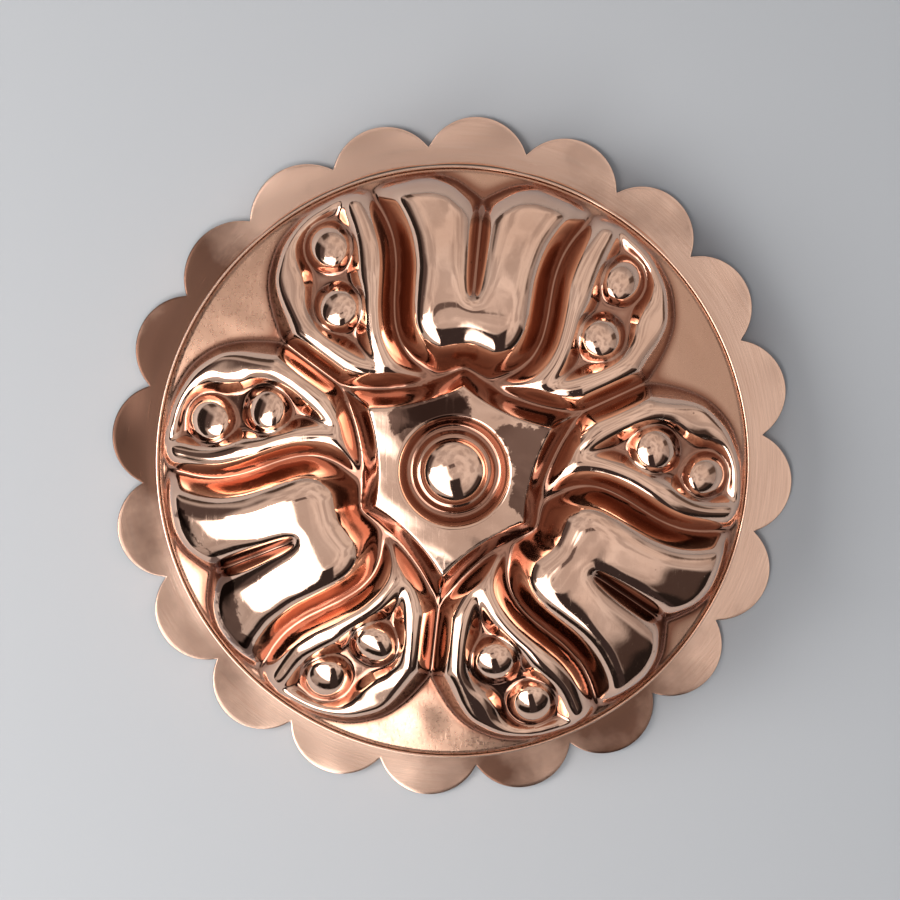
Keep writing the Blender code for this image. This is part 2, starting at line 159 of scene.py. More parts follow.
def tin():
    """Tin wiped on by hand while molten: grey-white, streaked by the wiping pad, dulled by
    use. It gives a soft, cloudy shine."""
    material, tree, shader = new_metal("wiped_tin")
    place = node(tree, "TexCoord").outputs["Object"]
    cloud = node(tree, "TexNoise", {
        "Vector": place, "Scale": 1 / (15 * MM), "Detail": 7.0, "Distortion": 1.2,
    })
    stretched = node(tree, "Mapping", {
        "Vector": place, "Scale": (1, 6, 1), "Rotation": (0, 0, 0.5),
    })
    wiping = node(tree, "TexNoise", {
        "Vector": stretched.outputs[0], "Scale": 1 / (7 * MM), "Detail": 6.0,
    })
    tone = node(tree, "Mix", {
        0: cloud.outputs["Fac"], "A": linear("c9c6bf"), "B": linear("98938b"),
    }, data_type="RGBA")
    tree.links.new(tone.outputs["Result"], shader.inputs["Base Color"])
    rough = node(tree, "MapRange", {"Value": wiping.outputs["Fac"], "To Min": 0.3, "To Max": 0.55})
    tree.links.new(rough.outputs[0], shader.inputs["Roughness"])
    ripple = node(tree, "Bump", {
        "Height": wiping.outputs["Fac"], "Strength": 0.25, "Distance": 0.15 * MM,
    })
    tree.links.new(ripple.outputs[0], shader.inputs["Normal"])
    return material


wiped_tin = tin()
band_steps = 360
wall_inside = shoulder_radius - sheet
edge_round = 0.35 * MM
edge_top = shoulder_height - edge_round
bend_x, bend_z = shoulder_radius + bend_radius, sheet + bend_radius
band_section = arc(wall_inside + edge_round, edge_top, edge_round, 180, 90, 4)
band_section += arc(shoulder_radius - edge_round, edge_top, edge_round, 90, 0, 4)
band_section += arc(bend_x, bend_z, bend_radius, 180, 270, 8)
band_section += arc(foot_radius - edge_round, sheet - edge_round, edge_round, 90, 0, 3)
band_section += arc(foot_radius - edge_round, edge_round, edge_round, 0, -90, 3)
band_section += arc(bend_x, bend_z, bend_radius + sheet, 270, 180, 8)
tinned_rows = 6    # the inside of the wall and the upper part of the bend
band = add_piece(
    "side_band_sheet", turned(band_section, band_steps),
    [f[::-1] for f in grid_faces(len(band_section), band_steps)], "copper_band", "side_band",
)
band.data.materials.append(band_copper())
band.data.materials.append(wiped_tin)
for face in band.data.polygons:
    if face.index // band_steps >= len(band_section) - tinned_rows:
        face.material_index = 1

# Embossed crown: one sheet of copper, raised and chased into a star with a boss and three
# tulips, turned down at its edge and let into the band. The relief is burnished bright, the
# plain dome is worn satin, and the hollows keep a brown tarnish. Painted shade darkens its
# creases and steep walls, and painted dark reflections lie on the star's top and along the
# nose of one tulip.
lip_radius = shoulder_radius - sheet - 0.05 * MM
shoulder_round = 1.2 * MM
lip_depth = 4.0 * MM
dome_rise = 20.4 * MM
tulips = 3
tulip_angle = math.radians(83.7)
pad_height = 0.6 * MM
pad_step = 0.8 * MM

# Star, its ring groove and its boss
star_height = 60.8 * MM
star_short_point = 28.1 * MM
star_long_point = 34.3 * MM
star_hollow = 2.0 * MM
star_crown = 2.2 * MM
star_wall_round = 0.14
star_zone = 0.5 * shoulder_radius
moat_radius = 18.9 * MM
moat_depth = 5.5 * MM
boss_radius = 11.0 * MM
boss_rise = 5.8 * MM
collar_rise = 1.8 * MM

# Middle petals: a wall is straight over a share of its width, then rolls over. The nose of the
# top tulip was left rounder than the others. The groove opens from a narrow start.
wall_lean = math.radians(66)
wall_share = 0.42
bell_height = 59.4 * MM
bell_level_end = 45.0 * MM
bell_bend = 57.0 * MM
bell_slope = 0.8
heel_fall, heel_fall_start, heel_fall_run = 5.0 * MM, 57 * MM, 24 * MM
bell_side_round = 13.8 * MM
bell_nose_round = 5.0 * MM
soft_nose_round = 8.0 * MM
soft_nose_share = 0.15
groove_start = 58.5 * MM
groove_round = 12.5 * MM
groove_narrow = 5.0 * MM
groove_run = 30.0 * MM
groove_opening = 0.7
groove_floor = 0.7 * MM
groove_share = 0.62
groove_shallow = 0.3
groove_wall_share = 0.12
groove_lean = math.radians(72)

# Side petals, the hollow beds in them, and the pearls, low domes on a short steep wall
leaf_rise = 11.5 * MM
leaf_height = 52.5 * MM
leaf_height_blend = 3.0 * MM
leaf_lean, leaf_lean_start, leaf_lean_run = 0.25, 8 * MM, 30 * MM
leaf_spread_start, leaf_spread_run = 56 * MM, 30 * MM
leaf_fall, leaf_fall_start, leaf_fall_run = 0.4, 66 * MM, 34 * MM
leaf_valley_round = 9.0 * MM
leaf_plain_round = 9.5 * MM
leaf_nose_round = 4.5 * MM
leaf_narrow_start, leaf_narrow_run = 42 * MM, 16 * MM
bed_foot = 3.5 * MM
bed_wall = 8.0 * MM
bed_sink = 6.2 * MM
bed_lowest = -1.0 * MM
pearl_radius = 8.1 * MM
pearl_rise = 7.0 * MM
pearl_curve = 10.5 * MM
pearl_lean = math.radians(74)
pearl_edge = 0.8 * MM
pearl_blend = 0.5 * MM

# Lines of half a tulip as (across, outward) in hundredths of the shoulder radius.
heel_line = [(0, 33.1), (3.3, 32.2), (8.3, 30.8), (12.6, 31.8)]
valley_line = [
    (12.6, 31.8), (16.9, 34.1), (21.2, 38.6), (23.9, 44.5), (25.1, 51.0),
    (25.6, 58.0), (26.2, 65.5), (28.0, 73.0), (30.9, 79.0), (34.4, 84.0), (37.4, 88.0),
]
nose_line = [
    (37.4, 88.0), (33.2, 90.4), (28.2, 92.7), (22.0, 94.7), (16.5, 95.4), (10.0, 94.2),
    (4.5, 91.3), (0, 88.6),
]
leaf_line = [
    (37.4, 88.0), (40.5, 87.7), (43.5, 87.0), (47.5, 85.2), (52.5, 81.7), (57.8, 77.3),
    (62.4, 71.7), (65.5, 66.4), (67.1, 60.0), (67.4, 54.0), (66.1, 47.5), (63.6, 41.2),
    (60.3, 34.8),
]
bed_line = [
    (29.4, 31.4), (31.9, 37.4), (33.4, 43.0), (34.6, 49.0), (35.4, 54.5), (37.2, 60.0),
    (37.9, 65.5), (38.7, 70.5), (40.6, 75.6), (43.2, 80.2), (45.8, 85.0), (49.0, 81.4),
    (53.6, 77.6), (57.6, 72.6), (59.4, 67.2), (58.6, 62.0), (56.6, 58.2), (55.4, 54.0),
    (54.9, 49.2), (52.6, 44.4), (48.0, 40.2), (42.0, 36.6), (35.6, 33.6), (29.4, 31.4),
]
star_line = [
    (0, 33.1), (6.6, 28.8), (13.3, 26.2), (19.9, 24.5), (26.5, 23.3), (35.0, 22.8), (41.0, 23.7),
]
pearl_places = [(43.2, 48.5), (47.6, 67.6)]


def drawn(points):
    """Points in hundredths of the shoulder radius, in metres."""
    return np.array(points, dtype=float) * shoulder_radius / 100


def smooth_line(points, steps=6):
    """Curve through the points of a drawn line, with its two ends kept."""
    points = drawn(points)
    padded = np.vstack([2 * points[0] - points[1], points, 2 * points[-1] - points[-2]])
    line = []
    for a, b, c, d in zip(padded, padded[1:], padded[2:], padded[3:]):
        for t in np.arange(steps) / steps:
            line.append(0.5 * (2 * b + (c - a) * t + (2 * a - 5 * b + 4 * c - d) * t**2
                               + (3 * b - a - 3 * c + d) * t**3))
    return np.array(line + [points[-1]])


def all_round(half_line):
    """Closed outline made of a half line, its mirror image and their turned copies."""
    whole = np.vstack([(half_line[::-1] * [-1, 1])[:-1], half_line[:-1]])
    copies = []
    for k in range(tulips):
        cos, sin = math.cos(2 * math.pi * k / tulips), math.sin(2 * math.pi * k / tulips)
        copies.append(whole @ np.array([[cos, -sin], [sin, cos]]))
    return np.vstack(copies)


def away_from(across, outward, line):
    """Distance to a line that is open at its ends."""
    nearest = np.full(across.shape, np.inf)
    for (ax, ay), (bx, by) in zip(line, line[1:]):
        ex, ey = bx - ax, by - ay
        length = ex * ex + ey * ey
        if length > 0:
            along = np.clip(((across - ax) * ex + (outward - ay) * ey) / length, 0, 1)
            off = (across - ax - along * ex) ** 2 + (outward - ay - along * ey) ** 2
            nearest = np.minimum(nearest, off)
    return np.sqrt(nearest)


def inside_depth(across, outward, outline):
    """Distance to a closed outline, positive inside it and negative outside."""
    nearest = np.full(across.shape, np.inf)
    inside = np.zeros(across.shape, dtype=bool)
    for (ax, ay), (bx, by) in zip(outline, np.roll(outline, -1, axis=0)):
        ex, ey = bx - ax, by - ay
        length = ex * ex + ey * ey
        if length == 0:
            continue
        px, py = across - ax, outward - ay
        along = np.clip((px * ex + py * ey) / length, 0, 1)
        nearest = np.minimum(nearest, (px - along * ex) ** 2 + (py - along * ey) ** 2)
        if ay != by:
            inside ^= ((ay > outward) != (by > outward)) & (across < ax + py * ex / ey)
    nearest = np.sqrt(nearest)
    return np.where(inside, nearest, -nearest)


def lower_of(first, second, blend):
    """The lower of two surfaces, with the edge between them rounded."""
    share = np.clip(0.5 + 0.5 * (second - first) / blend, 0, 1)
    return second + (first - second) * share - blend * share * (1 - share)


def ramp(share):
    """A soft step from 0 to 1."""
    share = np.clip(share, 0, 1)
    return share * share * (3 - 2 * share)


def rolled(share, straight=wall_share, lean=wall_lean):
    """Rise of a wall over its width: straight and steep from its foot, then rolled level."""
    share = np.clip(share, 0, 1)
    radius = (1 - straight) / math.sin(lean)
    bent = np.sqrt(radius**2 - (1 - np.maximum(share, straight)) ** 2) - radius * math.cos(lean)
    rise = np.minimum(share, straight) * math.tan(lean) + bent
    return rise / (straight * math.tan(lean) + radius * (1 - math.cos(lean)))


def fallen(radius, level_end, bend, slope):
    """How far a crest has come down: level in the middle, then bent to a steady slope."""
    past = np.maximum(radius - level_end, 0)
    return slope * np.where(past < bend, past * past / (2 * bend), past - bend / 2)


# Where the chaser's hand put each pearl, as plan places and moves in millimetres.
nudges = [
    ((53, 66), (2.0, -0.7)), ((48, 46), (0.0, -1.0)), ((-41, 76), (-1.8, 0.5)),
    ((-39, 56), (0.0, -0.7)), ((-82, 16), (0.7, -1.0)), ((-64, 20), (1.2, -1.0)),
    ((-28, -62), (1.7, 1.7)), ((27, -81), (0.0, -1.0)), ((68, 7), (2.0, 0.7)),
    ((85, 0), (1.3, -2.3)),
]
nudge_reach = 11 * MM


def hand_moved(x, y):
    """Places on the regular pattern that lie under given places of the hand-made one."""
    moved_x, moved_y = x.copy(), y.copy()
    for (at_x, at_y), (move_x, move_y) in nudges:
        share = np.exp(-((x - at_x * MM) ** 2 + (y - at_y * MM) ** 2) / nudge_reach**2)
        moved_x -= share * move_x * MM
        moved_y -= share * move_y * MM
    return moved_x, moved_y


def folded(x, y):
    """Places in half a tulip, across and outward, for places in the plan of the mould."""
    radius = np.hypot(x, y)
    full = 2 * math.pi / tulips
    angle = (np.arctan2(y, x) - tulip_angle + full / 2) % full - full / 2
    return radius * np.abs(np.sin(angle)), radius * np.cos(angle), radius


heel, valley, nose, leaf_edge, star_foot = [
    smooth_line(line) for line in (heel_line, valley_line, nose_line, leaf_line, star_line)
]
bell_side = np.vstack([heel, valley])
leaf_valley = bell_side
leaf_plain = np.vstack([leaf_edge, star_foot[::-1]])
bell_half = np.vstack([bell_side, nose])
bell_outline = np.vstack([bell_half, bell_half[::-1] * [-1, 1]])
leaf_outline = np.vstack([leaf_valley, leaf_plain])
bed_outline = smooth_line(bed_line, 4)
figure_outline = all_round(np.vstack([nose[::-1][:-1], leaf_edge]))
star_foot_outline = all_round(star_foot)


def tulip_height(x, y):
    """Height of the dome with its tulips, without the star, and how far inside the figure."""
    across, outward, radius = folded(x, y)
    into_figure = inside_depth(across, outward, figure_outline)
    dome = shoulder_height + dome_rise * (1 - (radius / lip_radius) ** 2)
    pad = dome + pad_height * ramp(into_figure / pad_step)

    bell_top = bell_height - fallen(radius, bell_level_end, bell_bend, bell_slope)
    bell_top -= heel_fall * np.clip((heel_fall_start - radius) / heel_fall_run, 0, 1) ** 2
    inside_bell = inside_depth(across, outward, bell_outline) > 0
    flank = rolled(away_from(across, outward, bell_side) / bell_side_round)
    nose_wall = away_from(across, outward, nose)
    soft_nose = rolled(nose_wall / soft_nose_round, soft_nose_share)
    flank *= np.where(y > 0, soft_nose, rolled(nose_wall / bell_nose_round)) * inside_bell
    to_groove = np.hypot(across, np.maximum(groove_start - outward, 0))
    to_groove = np.hypot(to_groove, groove_floor) - groove_floor
    opened = np.clip((outward - groove_start) / groove_run, 0, 1) ** groove_opening
    groove_reach = groove_narrow + (groove_round - groove_narrow) * opened
    groove_depth = groove_share * (groove_shallow + (1 - groove_shallow) * opened)
    groove_wall = rolled(to_groove / groove_reach, groove_wall_share, groove_lean)
    flank *= 1 - groove_depth * (1 - groove_wall)
    height = pad + np.maximum(bell_top - pad, 0) * flank

    bed_depth = inside_depth(across, outward, bed_outline)
    inside_leaf = inside_depth(across, outward, leaf_outline) > 0
    to_valley = away_from(across, outward, leaf_valley)
    lean = leaf_lean * ramp((to_valley - leaf_lean_start) / leaf_lean_run)
    lean *= ramp((radius - leaf_spread_start) / leaf_spread_run)
    fall = leaf_fall * ramp((radius - leaf_fall_start) / leaf_fall_run)
    leaf_crest = leaf_rise * (1 - lean) * (1 - fall)
    leaf_crest = lower_of(leaf_crest, leaf_height - pad, leaf_height_blend)
    narrowed = ramp((outward - leaf_narrow_start) / leaf_narrow_run)
    narrowed *= leaf_nose_round - leaf_plain_round
    petal = rolled(away_from(across, outward, leaf_plain) / (leaf_plain_round + narrowed))
    petal *= leaf_crest * rolled(to_valley / leaf_valley_round)
    bed_floor = np.maximum(leaf_crest - bed_sink, bed_lowest)
    petal += (bed_floor - petal) * (1 - rolled((bed_foot - bed_depth) / bed_wall))
    for pearl in drawn(pearl_places):
        away = np.hypot(across - pearl[0], outward - pearl[1])
        cap = pearl_rise - pearl_curve + np.sqrt(np.maximum(pearl_curve**2 - away**2, 0))
        ball = lower_of(cap, (pearl_radius - away) * math.tan(pearl_lean), pearl_edge)
        raised = -lower_of(-petal, -ball - bed_floor, pearl_blend)
        petal = np.where(away < pearl_radius * 1.2, raised, petal)
    return height + np.where(inside_leaf, petal, 0), into_figure


def star_outline(steps=10):
    """Six points joined by sides that are drawn in towards the middle."""
    corners = []
    for k in range(2 * tulips):
        radius = star_short_point if k % 2 == 0 else star_long_point
        angle = math.pi * k / tulips
        corners.append(np.array([radius * math.sin(angle), radius * math.cos(angle)]))
    outline = []
    for start, end in zip(corners, corners[1:] + corners[:1]):
        middle = (start + end) / 2
        inward = -middle / math.hypot(*middle)
        for t in np.arange(steps) / steps:
            outline.append(start + (end - start) * t + inward * star_hollow * 4 * t * (1 - t))
    return np.array(outline)


star_top_outline = star_outline()


def with_star(x, y, ground):
    """Set the star and its boss on the ground that the tulips leave in the middle."""
    across, outward, radius = folded(x, y)
    near = radius < star_zone
    across, outward, radius, below = across[near], outward[near], radius[near], ground[near]
    into_foot = inside_depth(across, outward, star_foot_outline)
    from_top = np.maximum(-inside_depth(across, outward, star_top_outline), 0)
    climb = np.clip(into_foot / np.maximum(into_foot + from_top, 1e-9), 0, 1)
    climb = lower_of(climb, np.ones_like(climb), star_wall_round) / (1 - star_wall_round / 4)
    climb = np.clip(np.where(into_foot > 0, climb, 0), 0, 1)
    moat_middle = (moat_radius + boss_radius) / 2
    moat = moat_depth * ramp((moat_radius - radius) / (moat_radius - moat_middle))
    collar = collar_rise * ramp((moat_middle - radius) / (moat_middle - boss_radius))
    boss = boss_rise * np.sqrt(np.maximum(1 - (radius / boss_radius) ** 2, 0))
    top = star_height - star_crown * (radius / star_long_point) ** 2
    height = ground.copy()
    height[near] = below + (top - moat + collar + boss - below) * climb
    return height


# The tulips are worked out once on a fine square grid, softened a little as hammered sheet
# is, and read from it at every point of the crown.
sheet_soft = 0.7 * MM
star_crease_soft = 1.1 * MM
inside_soft = 0.5 * MM
cell = 0.4 * MM
half_cells = int(shoulder_radius / cell) + 6
grid_axis = np.arange(-half_cells, half_cells + 1) * cell
grid_x, grid_y = np.meshgrid(grid_axis, grid_axis, indexing="ij")
tulip_grid, figure_grid = tulip_height(*hand_moved(grid_x, grid_y))


def softened(field, spread):
    """A field blurred over a length, along both axes of its grid."""
    reach = int(3 * spread / cell) + 1
    weights = np.exp(-0.5 * (np.arange(-reach, reach + 1) * cell / spread) ** 2)
    weights /= weights.sum()
    for axis in (0, 1):
        margins = [(reach, reach) if a == axis else (0, 0) for a in (0, 1)]
        padded = np.pad(field, margins, mode="edge")
        places = np.arange(field.shape[axis])
        field = sum(w * np.take(padded, places + k, axis=axis) for k, w in enumerate(weights))
    return field


def read_grid(field, x, y):
    """Smooth reading of a grid's field at any place."""
    gx, gy = x / cell + half_cells, y / cell + half_cells
    ix, iy = np.floor(gx).astype(int), np.floor(gy).astype(int)
    tx, ty = gx - ix, gy - iy

    def weights(t):
        """Shares of the four points round a place, along one axis."""
        return (
            0.5 * (-t + 2 * t**2 - t**3), 0.5 * (2 - 5 * t**2 + 3 * t**3),
            0.5 * (t + 4 * t**2 - 3 * t**3), 0.5 * (t**3 - t**2),
        )

    total = np.zeros_like(x)
    for i, wx in enumerate(weights(tx)):
        for j, wy in enumerate(weights(ty)):
            total += wx * wy * field[ix + i - 1, iy + j - 1]
    return total


tulip_soft = softened(tulip_grid, sheet_soft)
outer_grid = with_star(grid_x, grid_y, tulip_soft)
crease_soft = softened(outer_grid, star_crease_soft) - outer_grid

# The inside lies a sheet's thickness under the outside, felt with a ball of that radius.
inner_grid = outer_grid - sheet
for shift_x in range(-2, 3):
    for shift_y in range(-2, 3):
        aside = math.hypot(shift_x, shift_y) * cell
        if aside <= sheet:
            below = math.sqrt(sheet**2 - aside**2)
            moved = np.roll(outer_grid, (shift_x, shift_y), (0, 1)) - below
            inner_grid = np.minimum(inner_grid, moved)
inner_grid = softened(inner_grid, inside_soft)


def hand_waves(x, y, wavelength, seed):
    """Gentle unevenness left by hand work, between about -1 and 1."""
    draw = np.random.default_rng(seed)
    total = np.zeros_like(x)
    for _ in range(7):
        heading, phase = draw.uniform(0, 2 * math.pi, 2)
        pitch = 2 * math.pi / (wavelength * draw.uniform(0.7, 1.4))
        total += np.cos(pitch * (x * math.cos(heading) + y * math.sin(heading)) + phase)
    return total / 3.5


def polar_outline(outline, angles):
    """Radius of a star-shaped outline at each angle."""
    order = np.argsort(np.arctan2(outline[:, 1], outline[:, 0]))
    known = np.arctan2(outline[:, 1], outline[:, 0])[order]
    radius = np.hypot(*outline[order].T)
    wanted = (angles + math.pi) % (2 * math.pi) - math.pi
    return np.interp(wanted, known, radius, period=2 * math.pi)


def ring_places(k, stops, flat):
    """Plan of one ring of the crown: 6 k points, on the star's own outlines near it."""
    count = max(6 * k, 1)
    turns = tulip_angle - np.arange(count) * 2 * math.pi / count
    star_turns = math.pi / 2 + turns - tulip_angle
    radii = [0, boss_radius, moat_radius, polar_outline(star_top_outline, star_turns),
             polar_outline(star_foot_outline, star_turns), flat]
    for (first, last), inner, outer in zip(zip(stops, stops[1:]), radii, radii[1:]):
        if k <= last:
            radius = inner + (outer - inner) * (k - first) / (last - first)
            break
    radius = np.broadcast_to(radius, (count,))
    return radius * np.cos(turns), radius * np.sin(turns)


def disc(stops, flat):
    """Rings of points from the middle out, and the triangles between them."""
    xs, ys, starts = [], [], []
    total = 0
    for k in range(stops[-1] + 1):
        x, y = ring_places(k, stops, flat)
        starts.append(total)
        total += len(x)
        xs.append(x)
        ys.append(y)
    faces = []
    for k in range(1, stops[-1] + 1):
        outer, inner, ring, within = starts[k], starts[k - 1], 6 * k, max(6 * (k - 1), 1)
        for sector in range(6):
            for i in range(k):
                o = sector * k + i
                n = sector * (k - 1) + i
                apex, beyond = inner + n % within, outer + (o + 1) % ring
                faces.append((apex, beyond, outer + o))
                if i < k - 1:
                    faces.append((apex, inner + (n + 1) % within, beyond))
    return np.concatenate(xs), np.concatenate(ys), faces


flat_radius = lip_radius - shoulder_round
outer_stops = (0, 20, 38, 58, 68, 150)
inner_stops = (0, 10, 19, 29, 34, 75)
outer_x, outer_y, outer_faces = disc(outer_stops, flat_radius)
inner_x, inner_y, inner_faces = disc(inner_stops, flat_radius)
outer_z = with_star(outer_x, outer_y, read_grid(tulip_soft, outer_x, outer_y))
figure_edge = softened(np.clip(figure_grid / (2 * MM), -1, 1), 0.5 * MM)
into_figure = read_grid(figure_edge, outer_x, outer_y)
from_middle = np.hypot(outer_x, outer_y)

# The creases round the star are softened again below its flat top.
round_star = ramp((star_height - 4 * MM - outer_z) / (3 * MM))
round_star *= ramp((star_zone - from_middle) / (10 * MM))
outer_z += round_star * read_grid(crease_soft, outer_x, outer_y)

# Unevenness of hand work, as its depth, its length and the seed of the draw.
edge_fade = ramp((flat_radius - from_middle) / (10 * MM))
for depth, length, seed in ((0.10 * MM, 14 * MM, 3), (0.16 * MM, 34 * MM, 4)):
    outer_z += depth * hand_waves(outer_x, outer_y, length, seed) * edge_fade
inner_sink = 0.15 * MM
inner_z = read_grid(inner_grid, inner_x, inner_y) - inner_sink


def lip_rings(count, radius_and_depth, turns):
    """Rings of points down the turned edge."""
    across, along = np.cos(turns), np.sin(turns)
    return np.vstack([
        np.stack([radius * across, radius * along, np.full(count, z)], 1)
        for radius, z in radius_and_depth
    ])


def lip_faces(last_ring, rings, count, inwards):
    """Quads down the turned edge, from the last ring of a disc."""
    faces = []
    for row in range(rings):
        upper = last_ring + row * count
        for c in range(count):
            a, b = upper + c, upper + (c + 1) % count
            faces.append((a, a + count, b + count, b) if inwards else (a, b, b + count, a + count))
    return faces


outer_count, inner_count = 6 * outer_stops[-1], 6 * inner_stops[-1]
outer_turns = tulip_angle - np.arange(outer_count) * 2 * math.pi / outer_count
inner_turns = outer_turns[::2]
lip_low = shoulder_height - shoulder_round - lip_depth
round_points = arc(flat_radius, shoulder_height - shoulder_round, shoulder_round, 90, 0, 6)[1:]
outer_lip = lip_rings(outer_count, round_points + [(lip_radius, lip_low)], outer_turns)
inner_rounds = arc(flat_radius, shoulder_height - shoulder_round, shoulder_round - sheet, 60, 0, 2)
inner_lip = lip_rings(inner_count, inner_rounds + [(lip_radius - sheet, lip_low)], inner_turns)
crown_points = np.vstack([
    np.stack([outer_x, outer_y, outer_z], 1), outer_lip,
    np.stack([inner_x, inner_y, inner_z], 1), inner_lip,
])
crown_faces = outer_faces + lip_faces(
    len(outer_x) - outer_count, len(outer_lip) // outer_count, outer_count, False,
)
inner_start = len(outer_x) + len(outer_lip)
copper_faces = len(crown_faces)
crown_faces += [tuple(inner_start + i for i in f[::-1]) for f in inner_faces]
crown_faces += lip_faces(
    inner_start + len(inner_x) - inner_count, len(inner_lip) // inner_count, inner_count, True,
)
low_outer, low_inner = inner_start - outer_count, len(crown_points) - inner_count
for c in range(inner_count):
    a, b, d = [low_outer + (2 * c + k) % outer_count for k in range(3)]
    p, q = low_inner + c, low_inner + (c + 1) % inner_count
    crown_faces += [(p, a, b), (p, b, q), (q, b, d)]

crown = add_piece(
    "embossed_crown_sheet", crown_points, crown_faces, "copper_crown", "embossed_crown",
)
figure_share = crown.data.attributes.new("figure", "FLOAT", "POINT")
shares = np.zeros(len(crown_points))
shares[:len(outer_x)] = ramp(0.5 + 0.5 * into_figure)
figure_share.data.foreach_set("value", shares)

# Brown tarnish and painted shade together, on steep walls, in wide hollows and narrow
# creases, which lie below the sheet around them, and round the foot of the star.
wide, narrow, tarnish_and_shade_edge = 4.0 * MM, 1.6 * MM, 0.8 * MM
tarnish_and_shade = np.zeros(len(crown_points))
steep = np.hypot(*np.gradient(outer_grid, cell))
tarnish_and_shade_mask = 0.4 * ramp((steep - 0.7) / 1.1)
tarnish_and_shade_mask += ramp((softened(outer_grid, wide) - outer_grid) / (2.8 * MM))
tarnish_and_shade_mask += 0.8 * ramp((softened(outer_grid, narrow) - outer_grid - 0.15 * MM) / (0.9 * MM))
round_foot = ramp((1.25 * star_long_point - np.hypot(grid_x, grid_y)) / (5 * MM))
tarnish_and_shade_mask += 0.6 * round_foot * ramp((star_height - 3 * MM - outer_grid) / (3 * MM))
tarnish_and_shade[:len(outer_x)] = read_grid(softened(tarnish_and_shade_mask, tarnish_and_shade_edge), outer_x, outer_y)
# This attribute holds brown tarnish together with painted shade.
tarnish_and_shade_layer = crown.data.attributes.new("tarnish_and_shade", "FLOAT", "POINT")
tarnish_and_shade_layer.data.foreach_set("value", np.clip(tarnish_and_shade, 0, 1))

# Painted dark reflections on the star's flat top and along the nose of one tulip, as
# outlines in millimetres, and the width of their edge.
dark_reflections = [
    [(-22, 20), (-16, 22), (1, 27), (5, 23), (6, 17), (0, 17), (-6, 16), (-13, 15), (-20, 12)],
    [(17, 16), (31, 14), (27, 2), (24, -8), (24, -17), (18, -11), (20, 0), (17, 8), (13, 14)],
    [(-94, -15), (-82, -29), (-80, -41), (-78, -55), (-68, -66), (-65, -62), (-71, -54),
     (-73, -41), (-76, -32), (-88, -22), (-90, -13)],
]
dark_reflection_fade = 3 * MM
dark_reflection_depth = np.full(len(crown_points), -1.0)
for outline in dark_reflections:
    depth = np.clip(inside_depth(outer_x, outer_y, np.array(outline) * MM) / dark_reflection_fade, -1, 1)
    dark_reflection_depth[:len(outer_x)] = np.maximum(dark_reflection_depth[:len(outer_x)], depth)
# The stain attribute holds the painted dark reflections.
dark_reflection_layer = crown.data.attributes.new("stain", "FLOAT", "POINT")
dark_reflection_layer.data.foreach_set("value", dark_reflection_depth)


